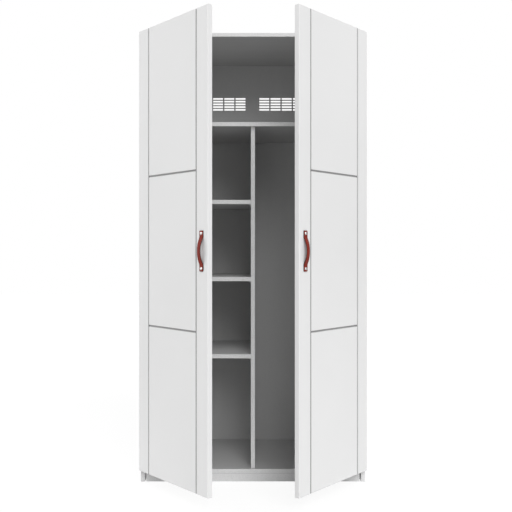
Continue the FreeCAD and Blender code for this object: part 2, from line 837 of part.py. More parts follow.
def door_fittings(name, side):
    """The bumpers and the strike plate on a door's back face."""
    bumper_x = mirrored(side, "free_edge + bumper_inset")
    node(name + "_door_bumpers", hang(group([
        rod("+y", (bumper_x, "door_back", z), "bumper_radius", "bumper_height")
        for z in ("bottom_top + bumper_rise", "ceiling + top_thickness / 2")
    ]), side))
    middle = mirrored(side, "catch_offset")
    plate = box(("%s - strike_width / 2" % middle, "door_back", "catch_middle - strike_height / 2"),
                ("%s + strike_width / 2" % middle, "door_back + strike_thickness",
                 "catch_middle + strike_height / 2"))
    node(name + "_strike_plate", hang(cut(plate, strike_screws(side, "drill_play")), side))
    node(name + "_strike_screws", hang(group(strike_screws(side)), side))


def build():
    fill_sheet()
    for name, side in SIDES.items():
        side_panel(name + "_side_panel", side)
    boards()
    small_shelves()
    back_panel()
    wall_rail()
    plinth()
    floor_glides()
    carcass_fittings()
    catches()
    for name, side in SIDES.items():
        hinges(name, side)
        door(name, side)
        handle(name, side)
        door_fittings(name, side)
    doc.recompute()


def check():
    """Stop if any object failed, or a sub-part's shape is empty or broken."""
    for obj in doc.Objects:
        if {"Invalid", "Error"} & set(obj.State):
            raise RuntimeError("%s (%s) failed: %s" % (obj.Name, obj.Label, obj.State))
    for obj in nodes:
        if obj.Shape.isNull() or not obj.Shape.isValid() or not obj.Shape.Solids:
            raise RuntimeError("%s has no valid solid" % obj.Label)


def export():
    os.makedirs("parts", exist_ok=True)
    for obj in nodes:
        obj.Shape.exportStep(os.path.join("parts", obj.Label + ".step"))
        print(obj.Label, len(obj.Shape.Solids), round(obj.Shape.Volume))


build()
check()
export()
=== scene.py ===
import json
import math

import bmesh
import bpy
import numpy as np
from mathutils import Matrix, Vector

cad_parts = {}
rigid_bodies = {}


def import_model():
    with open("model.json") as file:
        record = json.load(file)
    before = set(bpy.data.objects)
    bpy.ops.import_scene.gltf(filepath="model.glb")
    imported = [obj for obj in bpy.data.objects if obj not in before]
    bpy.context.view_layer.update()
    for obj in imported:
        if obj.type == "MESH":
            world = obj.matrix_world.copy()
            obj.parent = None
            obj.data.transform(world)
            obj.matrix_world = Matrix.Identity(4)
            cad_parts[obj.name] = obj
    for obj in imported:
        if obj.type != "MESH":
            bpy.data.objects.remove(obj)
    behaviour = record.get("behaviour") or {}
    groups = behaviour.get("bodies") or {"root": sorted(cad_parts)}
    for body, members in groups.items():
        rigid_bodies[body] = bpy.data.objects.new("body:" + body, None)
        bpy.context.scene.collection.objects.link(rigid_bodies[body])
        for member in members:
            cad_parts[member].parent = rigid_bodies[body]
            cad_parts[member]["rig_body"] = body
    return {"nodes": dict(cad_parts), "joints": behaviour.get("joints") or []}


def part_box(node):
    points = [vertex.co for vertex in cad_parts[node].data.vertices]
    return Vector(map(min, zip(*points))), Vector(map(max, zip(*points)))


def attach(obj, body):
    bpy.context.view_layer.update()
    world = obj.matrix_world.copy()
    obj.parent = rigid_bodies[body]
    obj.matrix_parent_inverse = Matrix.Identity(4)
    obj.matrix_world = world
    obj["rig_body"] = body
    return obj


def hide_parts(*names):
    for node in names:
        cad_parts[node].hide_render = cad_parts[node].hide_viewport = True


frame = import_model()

bl_info = {
    "name": "Wardrobe Finishes",
    "version": (1, 0, 0),
    "blender": (4, 5, 0),
    "location": "3D View > Sidebar > Wardrobe",
    "description": "Finishes, handles and fittings of a two-door wardrobe, built around its frame",
    "category": "Object",
}

SIDES = {"left": -1, "right": 1}
JOINTS = {joint["child"]: joint for joint in frame["joints"]}
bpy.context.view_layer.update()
MM = 0.001
END_REACH = 0.05 * MM


# ---------------------------------------------------------------- places, read from the frame

def door_swing(side_name):
    """The matrix that turns a door from shut to where it stands ajar."""
    joint = JOINTS[side_name + "_door"]
    pin = Matrix.Translation(Vector(joint["pos_m"]))
    ajar = -math.radians(joint["range_deg"][0])
    return pin @ Matrix.Rotation(ajar, 4, Vector(joint["axis"])) @ pin.inverted()


def node_points(name):
    """The vertices of a frame node."""
    mesh = frame["nodes"][name].data
    points = np.zeros(len(mesh.vertices) * 3)
    mesh.vertices.foreach_get("co", points)
    return points.reshape(-1, 3)


def shut_box(name, side_name):
    """The corners of a door's node with the door shut."""
    turn = np.array(door_swing(side_name).inverted())
    points = node_points(name) @ turn[:3, :3].T + turn[:3, 3]
    return Vector(points.min(0)), Vector(points.max(0))


def islands(name):
    """The separate solids of a frame node, each as its points."""
    mesh = bmesh.new()
    mesh.from_mesh(frame["nodes"][name].data)
    bmesh.ops.remove_doubles(mesh, verts=mesh.verts, dist=0.00001)
    left = set(mesh.verts)
    found = []
    while left:
        stack = [left.pop()]
        island = []
        while stack:
            vertex = stack.pop()
            island.append(vertex.co.copy())
            for edge in vertex.link_edges:
                other = edge.other_vert(vertex)
                if other in left:
                    left.remove(other)
                    stack.append(other)
        found.append(np.array(island))
    mesh.free()
    found.sort(key=lambda points: tuple(np.round(points.mean(0), 4)))
    return found


def round_place(points):
    """A turned piece's wide end, the way it faces, its radius, the other end's radius, and the length."""
    middle = points.mean(0)
    best = None
    for axis in np.linalg.svd(points - middle, full_matrices=False)[2]:
        along = (points - middle) @ axis
        # the middle of the span is on the axis, where the mean of the points may not be
        sideways = points - np.outer(along, axis)
        centre = (sideways.min(0) + sideways.max(0)) / 2
        across = np.linalg.norm(sideways - centre, axis=1)
        low = across[along < along.min() + END_REACH]
        high = across[along > along.max() - END_REACH]
        # both ends of a turned piece are full circles of points
        if best is None or min(len(low), len(high)) > best[0]:
            best = (min(len(low), len(high)), axis, along, centre, low.max(), high.max())
    _, axis, along, centre, low_radius, high_radius = best
    length = along.max() - along.min()
    if high_radius >= low_radius:
        return Vector(centre + axis * along.max()), Vector(axis), high_radius, low_radius, length
    return Vector(centre + axis * along.min()), Vector(-axis), low_radius, high_radius, length


SIDE_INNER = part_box("right_side_panel")[0].x
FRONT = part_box("right_side_panel")[0].y
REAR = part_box("right_side_panel")[1].y
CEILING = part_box("top_board")[0].z
BOTTOM_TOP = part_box("bottom_board")[1].z
BACK_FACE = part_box("back_panel")[0].y
JOINT_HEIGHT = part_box("bottom_board")[0].z
BAND_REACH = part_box("upper_small_shelf")[0].y - FRONT + 4 * MM
GROOVE_INSET = 0.077
GROOVE_WIDTH = 0.0055
DOOR_LOW, DOOR_HIGH = shut_box("left_door_panel", "left")
GROOVE_HEIGHTS = [DOOR_LOW.z + (DOOR_HIGH.z - DOOR_LOW.z) * share / 3 for share in (1, 2)]


# ---------------------------------------------------------------- settings

class FinishSettings(bpy.types.PropertyGroup):
    """Colours of the surfaces"""

    lacquer: bpy.props.FloatVectorProperty(
        name="Door lacquer", description="Colour of the doors", subtype="COLOR", size=3,
        min=0, max=1, default=(0.80, 0.80, 0.80))
    board: bpy.props.FloatVectorProperty(
        name="Outer board", description="Colour of the carcass outside and of its front edges",
        subtype="COLOR", size=3, min=0, max=1, default=(0.75, 0.75, 0.75))
    # painted shade: a darker copy of the board colour that stands in for the dimmer light inside the carcass
    inside: bpy.props.FloatVectorProperty(
        name="Inner board", description="Colour of the faces inside the carcass", subtype="COLOR",
        size=3, min=0, max=1, default=(0.57, 0.57, 0.57))
    leather: bpy.props.FloatVectorProperty(
        name="Leather", description="Colour of the handle straps", subtype="COLOR", size=3,
        min=0, max=1, default=(0.215, 0.023, 0.013))


class HandleSettings(bpy.types.PropertyGroup):
    """Sizes of the strap handles"""

    tab_width: bpy.props.FloatProperty(
        name="Tab width", description="Width of a strap where it is fixed", subtype="DISTANCE",
        unit="LENGTH", min=0.01, max=0.05, default=0.025)
    waist_width: bpy.props.FloatProperty(
        name="Waist width", description="Width of a strap in its middle", subtype="DISTANCE",
        unit="LENGTH", min=0.01, max=0.05, default=0.0205)
    bow: bpy.props.FloatProperty(
        name="Bow", description="Height of the strap's underside over the door in its middle",
        subtype="DISTANCE", unit="LENGTH", min=0.005, max=0.03, default=0.0137)
    flatness: bpy.props.FloatProperty(
        name="Flatness", description="Power of the bow's curve: 2 is a plain arc, more is flatter on top",
        min=1.5, max=4, default=2.2)


class StageSettings(bpy.types.PropertyGroup):
    """Light and view"""

    world_light: bpy.props.FloatProperty(
        name="World light", description="Strength of the even light all round", min=0, max=3, default=0.42)
    key_light: bpy.props.FloatProperty(
        name="Key light", description="Strength of the broad light from high at the front right",
        min=0, max=10, default=2.0)
    key_bearing: bpy.props.FloatProperty(
        name="Key bearing", description="How far the key light stands right of straight ahead",
        subtype="ANGLE", unit="ROTATION", default=math.radians(20))
    key_height: bpy.props.FloatProperty(
        name="Key height", description="Angle of the key light over the floor", subtype="ANGLE",
        unit="ROTATION", default=math.radians(37))
    fill_light: bpy.props.FloatProperty(
        name="Fill light", description="Strength of the broad light from the far left",
        min=0, max=10, default=0.7)
    fill_bearing: bpy.props.FloatProperty(
        name="Fill bearing", description="How far the fill light stands right of straight ahead",
        subtype="ANGLE", unit="ROTATION", default=math.radians(-96))
    fill_height: bpy.props.FloatProperty(
        name="Fill height", description="Angle of the fill light over the floor", subtype="ANGLE",
        unit="ROTATION", default=math.radians(20))
    softness: bpy.props.FloatProperty(
        name="Softness", description="How broad both lights are, seen from the wardrobe",
        subtype="ANGLE", unit="ROTATION", default=math.radians(45))
    view_offset: bpy.props.FloatProperty(
        name="View offset", description="How far the camera stands right of the middle",
        subtype="DISTANCE", unit="LENGTH", min=-1, max=1, default=-0.0177)
    view_distance: bpy.props.FloatProperty(
        name="View distance", description="Distance of the camera from the carcass's front",
        subtype="DISTANCE", unit="LENGTH", min=1, max=10, default=3.302)
    view_height: bpy.props.FloatProperty(
        name="View height", description="Height of the camera over the floor", subtype="DISTANCE",
        unit="LENGTH", min=0, max=3, default=1.0322)


# ---------------------------------------------------------------- shaders

class Value:
    """A shader socket that can be used in sums. Each operation adds a Math node."""

    def __init__(self, tree, socket):
        self.tree = tree
        self.socket = socket

    def math(self, operation, *others):
        node = self.tree.nodes.new("ShaderNodeMath")
        node.operation = operation
        for slot, item in zip(node.inputs, (self,) + others):
            plug(self.tree, slot, item)
        return Value(self.tree, node.outputs[0])

    def __add__(self, other):
        return self.math("ADD", other)

    def __sub__(self, other):
        return self.math("SUBTRACT", other)

    def __mul__(self, other):
        return self.math("MULTIPLY", other)

    def __truediv__(self, other):
        return self.math("DIVIDE", other)

    def __pow__(self, other):
        return self.math("POWER", other)

    def __gt__(self, other):
        return self.math("GREATER_THAN", other)

    def __lt__(self, other):
        return self.math("LESS_THAN", other)

    def __abs__(self):
        return self.math("ABSOLUTE")

    def __rsub__(self, other):
        return Value.math(self * -1, "ADD", other)

    __radd__ = __add__
    __rmul__ = __mul__


def plug(tree, slot, item):
    """Give a socket a link or a number."""
    if isinstance(item, Value):
        tree.links.new(item.socket, slot)
    elif isinstance(item, bpy.types.NodeSocket):
        tree.links.new(item, slot)
    elif slot.type == "RGBA":
        slot.default_value = tuple(item)[:3] + (1.0,)
    else:
        slot.default_value = item


class Finish:
    """A material and the nodes that make it."""

    def __init__(self, name):
        self.material = bpy.data.materials.new(name)
        self.material.use_nodes = True
        self.tree = self.material.node_tree
        self.tree.nodes.clear()
        self.shader = self.add("ShaderNodeBsdfPrincipled")
        self.output = self.add("ShaderNodeOutputMaterial", Surface=self.shader.outputs[0])

    def add(self, kind, settings=None, **inputs):
        """A node of one kind. Settings come first, then the values or links of its sockets."""
        node = self.tree.nodes.new(kind)
        for name, value in (settings or {}).items():
            setattr(node, name, value)
        for name, item in inputs.items():
            plug(self.tree, node.inputs[name.replace("_", " ")], item)
        return node

    def value(self, node, output=0):
        return Value(self.tree, node.outputs[output])

    def set(self, **inputs):
        """Values or links of the surface shader's sockets."""
        for name, item in inputs.items():
            plug(self.tree, self.shader.inputs[name.replace("_", " ")], item)
        return self

    def place(self, scale=(1, 1, 1), turn=(0, 0, 0), uv=False):
        """Object coordinates, or the piece's own map, scaled."""
        source = self.add("ShaderNodeTexCoord").outputs["UV" if uv else "Object"]
        return self.add("ShaderNodeMapping", Vector=source, Scale=scale, Rotation=turn).outputs[0]

    def axes(self, uv=False):
        """The three coordinates as values."""
        split = self.add("ShaderNodeSeparateXYZ", Vector=self.place(uv=uv))
        return [self.value(split, number) for number in range(3)]

    def noise(self, scale, detail=3.0, rough=0.5, stretch=(1, 1, 1), uv=False):
        node = self.add("ShaderNodeTexNoise", Vector=self.place(stretch, uv=uv), Scale=scale,
                        Detail=detail, Roughness=rough)
        return self.value(node)

    def cells(self, scale, feature="DISTANCE_TO_EDGE", stretch=(1, 1, 1), uv=False):
        node = self.add("ShaderNodeTexVoronoi", {"feature": feature},
                        Vector=self.place(stretch, uv=uv), Scale=scale)
        return self.value(node)

    def ramp(self, value, low, high):
        """0 up to low, 1 from high, and a straight rise between them."""
        node = self.add("ShaderNodeMapRange", {"clamp": True}, Value=value, From_Min=low, From_Max=high)
        return self.value(node)

    def mix(self, factor, first, second):
        """A colour between two colours."""
        node = self.add("ShaderNodeMix", {"data_type": "RGBA", "clamp_factor": True})
        for number, item in ((0, factor), (6, first), (7, second)):
            plug(self.tree, node.inputs[number], item)
        return node.outputs[2]

    def bump(self, height, distance, strength=1.0, normal=None):
        node = self.add("ShaderNodeBump", Height=height, Distance=distance, Strength=strength)
        if normal is not None:
            plug(self.tree, node.inputs["Normal"], normal)
        return node.outputs[0]


def shade(colour, factor):
    """A colour made darker or lighter."""
    return tuple(min(1.0, part * factor) for part in colour[:3])


def lacquer(name, colour, side_name):
    """Sprayed satin lacquer: almost flat, with a faint orange peel, and painted shade that darkens the colour
    down in the grooves.
    """
    finish = Finish(name)
    low, high = shut_box(side_name + "_door_panel", side_name)
    shut = door_swing(side_name).inverted()
    source = finish.add("ShaderNodeTexCoord").outputs["Object"]
    placed = finish.add("ShaderNodeMapping", Vector=source, Location=shut.to_translation(),
                        Rotation=shut.to_euler())
    split = finish.add("ShaderNodeSeparateXYZ", Vector=placed.outputs[0])
    across = abs(finish.value(split, 0) - (low.x + high.x) / 2)
    depth = finish.value(split, 1) - low.y
    height = finish.value(split, 2)
    stile = (high.x - low.x) / 2 - GROOVE_INSET
    upright = abs(across - stile) < GROOVE_WIDTH
    level = (across < stile) * ((abs(height - GROOVE_HEIGHTS[0]) < GROOVE_WIDTH)
                                + (abs(height - GROOVE_HEIGHTS[1]) < GROOVE_WIDTH))
    # painted shade: the colour darkens with depth down in the grooves
    groove = (upright * 1.7 + level * 1.5) * finish.ramp(depth, 0.0008, 0.004) * (depth < 0.006)
    cloud = finish.noise(2.2, detail=2)
    peel = finish.noise(420, detail=2)
    speck = finish.ramp(finish.noise(1500, detail=1), 0.66, 0.8)
    tone = finish.ramp(cloud + speck * 0.15, 0.3, 0.75)
    base = finish.mix(tone, colour, shade(colour, 0.972))
    base = finish.mix(groove * 0.6, base, shade(colour, 0.3))
    finish.set(Base_Color=base, Roughness=0.4 + 0.1 * peel,
               Normal=finish.bump(peel + speck * 0.4, 0.00006, 0.35))
    finish.set(Specular_IOR_Level=0.4)
    return finish.material


def melamine(name, colour, inside_shade_colour, grain):
    """Board with a pressed pore face, faintly speckled. The faces inside the carcass take a darker copy
    of the board colour, painted shade for the dimmer light in there, and front edges are banded in the outer
    one."""
    finish = Finish(name)
    x, y, z = finish.axes()
    facing = finish.add("ShaderNodeSeparateXYZ", Vector=finish.add("ShaderNodeTexCoord").outputs["Normal"])
    banded = (y < FRONT + BAND_REACH) * (finish.value(facing, 1) < -0.5)
    inside = ((abs(x) < SIDE_INNER + MM) * (y > FRONT + 0.5 * MM) * (y < BACK_FACE + MM)
              * (z > BOTTOM_TOP - MM) * (z < CEILING + MM) * (1 - banded))
    stretch = {"x": (0.05, 1, 1), "y": (1, 0.05, 1), "z": (1, 1, 0.05)}[grain]
    pores = finish.ramp(finish.noise(700, detail=3, rough=0.6, stretch=stretch), 0.56, 0.72)
    bands = finish.noise(28, detail=3, stretch=stretch)
    speckle = finish.ramp(finish.noise(170, detail=2, rough=0.7), 0.46, 0.66)
    # painted shadow: the joint under the bottom board is darkened in the colour, as the shadow line under it
    joint = finish.ramp(abs(z - JOINT_HEIGHT), 3.6 * MM, 1.2 * MM) * (y > FRONT + 2 * MM) * (y < FRONT + 9 * MM)
    outer = finish.mix(pores * 0.45 + bands * 0.3 + speckle * 0.45, colour, shade(colour, 0.84))
    # painted shade: the faces inside the carcass take a darker copy of the board colour
    painted_inside_shade = finish.mix(pores * 0.5 + bands * 0.35 + speckle * 0.2, inside_shade_colour, shade(inside_shade_colour, 0.88))
    base = finish.mix(joint * 0.55, finish.mix(inside, outer, painted_inside_shade), shade(colour, 0.45))
    finish.set(Base_Color=base, Roughness=0.46 + 0.12 * bands,
               Normal=finish.bump(speckle * 0.4 - pores, 0.00008, 0.5))
    finish.set(Specular_IOR_Level=0.4)
    return finish.material


def leather(name, colour):
    """Waxed leather: a pebbled face, a rough back and dark painted edges with a creased line by them.
    The piece's map runs along U, and round the section in V: the face to 1 and the back from 1 to 2."""
    finish = Finish(name)
    _, v, _ = finish.axes(uv=True)
    back = v > 1.0
    edge = abs(v.math("FRACT") - 0.5) * 2
    pebble = finish.cells(950)
    wrinkle = finish.noise(240, detail=4, rough=0.6)
    cloud = finish.noise(34, detail=3)
    painted = finish.ramp(edge, 0.87, 0.93)
    crease = finish.ramp(abs(edge - 0.72), 0.04, 0.0)
    rubbed = finish.ramp(cloud, 0.45, 0.7)
    base = finish.mix(rubbed, colour, shade(colour, 1.15))
    base = finish.mix(finish.ramp(pebble, 0.10, 0.0) * 0.35, base, shade(colour, 0.6))
    base = finish.mix(crease * 0.5, base, shade(colour, 0.55))
    base = finish.mix(back, base, shade(colour, 0.5))
    base = finish.mix(painted, base, (0.016, 0.012, 0.011))
    height = finish.ramp(pebble, 0.0, 0.16) * 0.6 + wrinkle * 0.5 - crease * 1.4
    finish.set(Base_Color=base, Roughness=0.55 - 0.1 * painted + 0.12 * wrinkle + 0.2 * back,
               Normal=finish.bump(height, 0.00022, 0.8))
    finish.set(Specular_IOR_Level=0.22)
    return finish.material


def metal(name, colour, roughness, brush):
    """Plated metal with a fine satin brushing."""
    finish = Finish(name)
    lines = finish.noise(1400, detail=2, stretch=brush)
    dull = finish.noise(120, detail=3)
    finish.set(Base_Color=finish.mix(dull, colour, shade(colour, 0.86)),
               Roughness=roughness + 0.12 * dull + 0.06 * lines,
               Normal=finish.bump(lines, 0.00002, 0.4), Metallic=1.0)
    return finish.material


def plastic(name, colour, roughness):
    """Moulded plastic with a fine spark texture."""
    finish = Finish(name)
    spark = finish.noise(1800, detail=2)
    cloud = finish.noise(60, detail=2)
    finish.set(Base_Color=finish.mix(cloud, colour, shade(colour, 0.93)),
               Roughness=roughness + 0.1 * spark, Normal=finish.bump(spark, 0.00004, 0.4))
    return finish.material


def silicone(name, colour):
    """Soft milky silicone."""
    finish = Finish(name)
    cloud = finish.noise(300, detail=2)
    finish.set(Base_Color=finish.mix(cloud, colour, shade(colour, 0.9)), Roughness=0.25 + 0.1 * cloud)
    finish.set(Transmission_Weight=0.45, IOR=1.41)
    return finish.material


def softwood(name, colour):
    """Planed softwood with growth rings along X."""
    finish = Finish(name)
    rings = finish.value(finish.add(
        "ShaderNodeTexWave", {"wave_type": "BANDS", "bands_direction": "Z"},
        Vector=finish.place((0.05, 1, 1)), Scale=55, Distortion=5, Detail=3, Detail_Scale=1.4))
    fibre = finish.noise(900, detail=3, stretch=(0.03, 1, 1))
    base = finish.mix(rings, colour, shade(colour, 0.66))
    base = finish.mix(fibre * 0.3, base, shade(colour, 0.55))
    finish.set(Base_Color=base, Roughness=0.62 + 0.12 * fibre,
               Normal=finish.bump(fibre + rings * 0.4, 0.00012, 0.5))
    return finish.material


# ---------------------------------------------------------------- meshes

def wear(obj, material):
    """Give an object one material."""
    obj.data.materials.clear()
    obj.data.materials.append(material)


def dress(names, material):
    """Give frame nodes one material."""
    for name in names:
        wear(frame["nodes"][name], material)


def new_object(name, mesh):
    obj = bpy.data.objects.new(name, mesh)
    bpy.context.scene.collection.objects.link(obj)
    return obj


def finished(name, shape, smooth=True):
    """An object from a bmesh, with its doubles merged and its faces outward."""
    bmesh.ops.remove_doubles(shape, verts=shape.verts, dist=0.000001)
    bmesh.ops.recalc_face_normals(shape, faces=shape.faces)
    for face in shape.faces:
        face.smooth = smooth
    mesh = bpy.data.meshes.new(name)
    shape.to_mesh(mesh)
    shape.free()
    return new_object(name, mesh)


def lathe(profile, segments):
    """A closed turned shape about Z, from points of radius and height that start and end on the axis."""
    shape = bmesh.new()
    rings = []
    for radius, height in profile:
        if radius < 1e-9:
            rings.append([shape.verts.new((0, 0, height))])
            continue
        turns = [2 * math.pi * step / segments for step in range(segments)]
        rings.append([shape.verts.new((radius * math.cos(a), radius * math.sin(a), height)) for a in turns])
    for lower, upper in zip(rings, rings[1:]):
        for step in range(segments):
            after = (step + 1) % segments
            corners = [lower[step % len(lower)], lower[after % len(lower)],
                       upper[after % len(upper)], upper[step % len(upper)]]
            corners = list(dict.fromkeys(corners))
            if len(corners) > 2:
                shape.faces.new(corners)
    return shape


def box_shape(shape, low, high):
    """Add a box to a bmesh."""
    corners = [shape.verts.new((x, y, z)) for x in (low[0], high[0]) for y in (low[1], high[1])
               for z in (low[2], high[2])]
    for ring in ((0, 1, 3, 2), (4, 6, 7, 5), (0, 4, 5, 1), (2, 3, 7, 6), (0, 2, 6, 4), (1, 5, 7, 3)):
        shape.faces.new([corners[number] for number in ring])
    return shape


def carve(obj, tool):
    """Cut a tool out of an object, and remove the tool."""
    modifier = obj.modifiers.new("carve", "BOOLEAN")
    modifier.operation = "DIFFERENCE"
    modifier.solver = "EXACT"
    modifier.object = tool
    bake_modifiers(obj)
    bpy.data.objects.remove(tool)


def bake_modifiers(obj):
    """Turn an object's modifiers into plain mesh."""
    bpy.context.view_layer.update()
    evaluated = obj.evaluated_get(bpy.context.evaluated_depsgraph_get())
    mesh = bpy.data.meshes.new_from_object(evaluated, preserve_all_data_layers=True,
                                           depsgraph=bpy.context.evaluated_depsgraph_get())
    obj.modifiers.clear()
    obj.data = mesh


def cross_tool(reach, width, depth, top):
    """A cross-shaped driver recess that narrows downwards, as a tool."""
    side = width / 2
    arm = [(reach, side), (side, side), (side, reach)]
    outline = [(x, y) for x, y in arm] + [(-x, y) for x, y in reversed(arm)]
    outline += [(-x, -y) for x, y in arm] + [(x, -y) for x, y in reversed(arm)]
    shape = bmesh.new()
    rings = []
    for height, scale in ((top - depth, 0.62), (top + depth * 0.5, 1.19)):
        rings.append([shape.verts.new((x * scale, y * scale, height)) for x, y in outline])
    for ring in rings:
        shape.faces.new(ring)
    for step in range(len(outline)):
        after = (step + 1) % len(outline)
        shape.faces.new([rings[0][step], rings[0][after], rings[1][after], rings[1][step]])
    return finished("cross", shape, smooth=False)


def screw_pattern(head_radius, shank_radius, length, domed):
    """One cross-recessed screw, facing +Z, with the top of its head at the origin. Its size is real."""
    sink = 0.0
    if domed:
        neck = head_radius * 0.595
        rim = neck * 0.55
        head = [(shank_radius, -neck), (head_radius * 0.98, -neck), (head_radius, -neck * 0.96),
                (head_radius, -rim), (head_radius * 0.96, -rim * 0.62), (head_radius * 0.82, -rim * 0.22)]
    else:
        # a countersunk head sits just below the face round it
        sink = 0.1 * MM
        neck = head_radius - shank_radius
        head = [(shank_radius, -neck), (head_radius * 0.97, -head_radius * 0.06),
                (head_radius * 0.97, -head_radius * 0.04)]
    pitch = shank_radius * 0.9
    tip = shank_radius * 2
    turns = int((length - neck * 1.5 - tip) / pitch)
    thread = [(0, -length), (shank_radius * 0.3, -length + tip * 0.2)]
    for turn in range(turns):
        root = -length + tip + turn * pitch
        thread += [(shank_radius * 0.74, root), (shank_radius, root + pitch * 0.45)]
    thread.append((shank_radius * 0.86, -length + tip + turns * pitch))
    thread.append((shank_radius * 0.86, -neck * 1.02))
    screw = finished("screw_pattern", lathe(thread + head + [(head_radius * 0.7, -sink), (0, -sink)], 24))
    carve(screw, cross_tool(head_radius * 0.54, head_radius * 0.18, head_radius * 0.4, -sink))
    return screw


def cam_pattern(radius, height):
    """One round cam lock, facing +Z: a rim, a dished face, a cross recess and a mark by the rim."""
    dish = 0.6 * MM
    shape = lathe([
        (0, -height), (radius * 0.97, -height), (radius, -height * 0.97), (radius, -height * 0.78),
        (radius * 0.86, -height * 0.74), (radius * 0.86, -height * 0.32), (radius, -height * 0.28),
        (radius, -0.2 * MM), (radius * 0.97, 0), (radius * 0.84, 0), (radius * 0.8, -dish), (0, -dish)], 36)
    cam = finished("cam_pattern", shape)
    carve(cam, cross_tool(radius * 0.42, radius * 0.15, radius * 0.3, -dish))
    shape = bmesh.new()
    box_shape(shape, (radius * 0.55, -radius * 0.06, -2 * dish), (radius * 0.74, radius * 0.06, dish))
    carve(cam, finished("cam_mark", shape, smooth=False))
    return cam


def bumper_pattern(radius, height):
    """One soft domed bumper, facing +Z with its foot at the origin."""
    steps = 7
    profile = [(0, 0), (radius * 0.94, 0), (radius, height * 0.12), (radius, height * 0.3)]
    for step in range(1, steps):
        angle = math.pi / 2 * step / steps
        profile.append((radius * math.cos(angle), height * (0.3 + 0.68 * math.sin(angle))))
    profile.append((0, height * 0.98))
    return finished("bumper_pattern", lathe(profile, 28))


def stud_pattern(radius, rise):
    """One domed stud, facing +Z with its flange at the origin: a rim, a turned groove and a dome."""
    steps = 10
    rim = 0.0008
    dome = radius * 0.86
    profile = [(0, -0.0006), (radius * 0.93, -0.0006), (radius, -0.0002), (radius, rim * 0.6),
               (radius * 0.985, rim), (radius * 0.93, rim), (radius * 0.915, rim * 0.5), (dome, rim * 0.5)]
    for step in range(1, steps):
        angle = math.pi / 2 * step / steps
        profile.append((dome * math.cos(angle) ** 0.9, rim * 0.5 + (rise - rim * 0.5) * math.sin(angle)))
    profile.append((0, rise))
    return finished("stud_pattern", lathe(profile, 40))


# ---------------------------------------------------------------- repeated fittings

def fitting_tree():
    """Geometry nodes that set one pattern on each point, facing along the point's own direction."""
    tree = bpy.data.node_groups.new("fittings", "GeometryNodeTree")
    face = tree.interface
    face.new_socket("Points", in_out="INPUT", socket_type="NodeSocketGeometry")
    face.new_socket("Pattern", in_out="INPUT", socket_type="NodeSocketObject")
    face.new_socket("Turn", in_out="INPUT", socket_type="NodeSocketFloat")
    face.new_socket("Seed", in_out="INPUT", socket_type="NodeSocketInt")
    face.new_socket("Material", in_out="INPUT", socket_type="NodeSocketMaterial")
    face.new_socket("Fittings", in_out="OUTPUT", socket_type="NodeSocketGeometry")
    nodes, links = tree.nodes, tree.links
    start = nodes.new("NodeGroupInput")
    pattern = nodes.new("GeometryNodeObjectInfo")
    links.new(start.outputs["Pattern"], pattern.inputs["Object"])
    facing = nodes.new("GeometryNodeInputNamedAttribute")
    facing.data_type = "FLOAT_VECTOR"
    facing.inputs["Name"].default_value = "facing"
    align = nodes.new("FunctionNodeAlignRotationToVector")
    align.axis = "Z"
    links.new(facing.outputs["Attribute"], align.inputs["Vector"])
    chance = nodes.new("FunctionNodeRandomValue")
    chance.data_type = "FLOAT"
    links.new(start.outputs["Turn"], chance.inputs[3])
    links.new(start.outputs["Seed"], chance.inputs["Seed"])
    spin = nodes.new("FunctionNodeAxisAngleToRotation")
    spin.inputs["Axis"].default_value = (0, 0, 1)
    links.new(chance.outputs[1], spin.inputs["Angle"])
    turn = nodes.new("FunctionNodeRotateRotation")
    turn.rotation_space = "LOCAL"
    links.new(align.outputs[0], turn.inputs[0])
    links.new(spin.outputs[0], turn.inputs[1])
    place = nodes.new("GeometryNodeInstanceOnPoints")
    links.new(start.outputs["Points"], place.inputs["Points"])
    links.new(pattern.outputs["Geometry"], place.inputs["Instance"])
    links.new(turn.outputs[0], place.inputs["Rotation"])
    real = nodes.new("GeometryNodeRealizeInstances")
    links.new(place.outputs[0], real.inputs[0])
    finish = nodes.new("GeometryNodeSetMaterial")
    links.new(real.outputs[0], finish.inputs["Geometry"])
    links.new(start.outputs["Material"], finish.inputs["Material"])
    end = nodes.new("NodeGroupOutput")
    links.new(finish.outputs[0], end.inputs[0])
    return tree


def set_fittings(name, places, pattern, material, turn=0.0, seed=1):
    """One object that holds the pattern at each place. A place is a point and a direction."""
    mesh = bpy.data.meshes.new(name)
    mesh.from_pydata([point for point, _ in places], [], [])
    facing = mesh.attributes.new("facing", "FLOAT_VECTOR", "POINT")
    facing.data.foreach_set("vector", [part for _, way in places for part in way])
    obj = new_object(name, mesh)
    modifier = obj.modifiers.new("fittings", "NODES")
    modifier.node_group = bpy.data.node_groups.get("fittings") or fitting_tree()
    inputs = {"Pattern": pattern, "Turn": turn, "Seed": seed, "Material": material}
    for item in modifier.node_group.interface.items_tree:
        if item.in_out == "INPUT" and item.name in inputs:
            modifier[item.identifier] = inputs[item.name]
    bake_modifiers(obj)
    return obj


def stand_for(obj, body, slot, *nodes):
    """A new piece rides on a body and takes the place of frame nodes."""
    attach(obj, body)
    if nodes:
        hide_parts(*nodes)
    return obj


def body_of(node):
    return frame["nodes"][node]["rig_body"]


# ---------------------------------------------------------------- operators

def settings():
    scene = bpy.context.scene
    return scene.wardrobe_finish, scene.wardrobe_handle, scene.wardrobe_stage


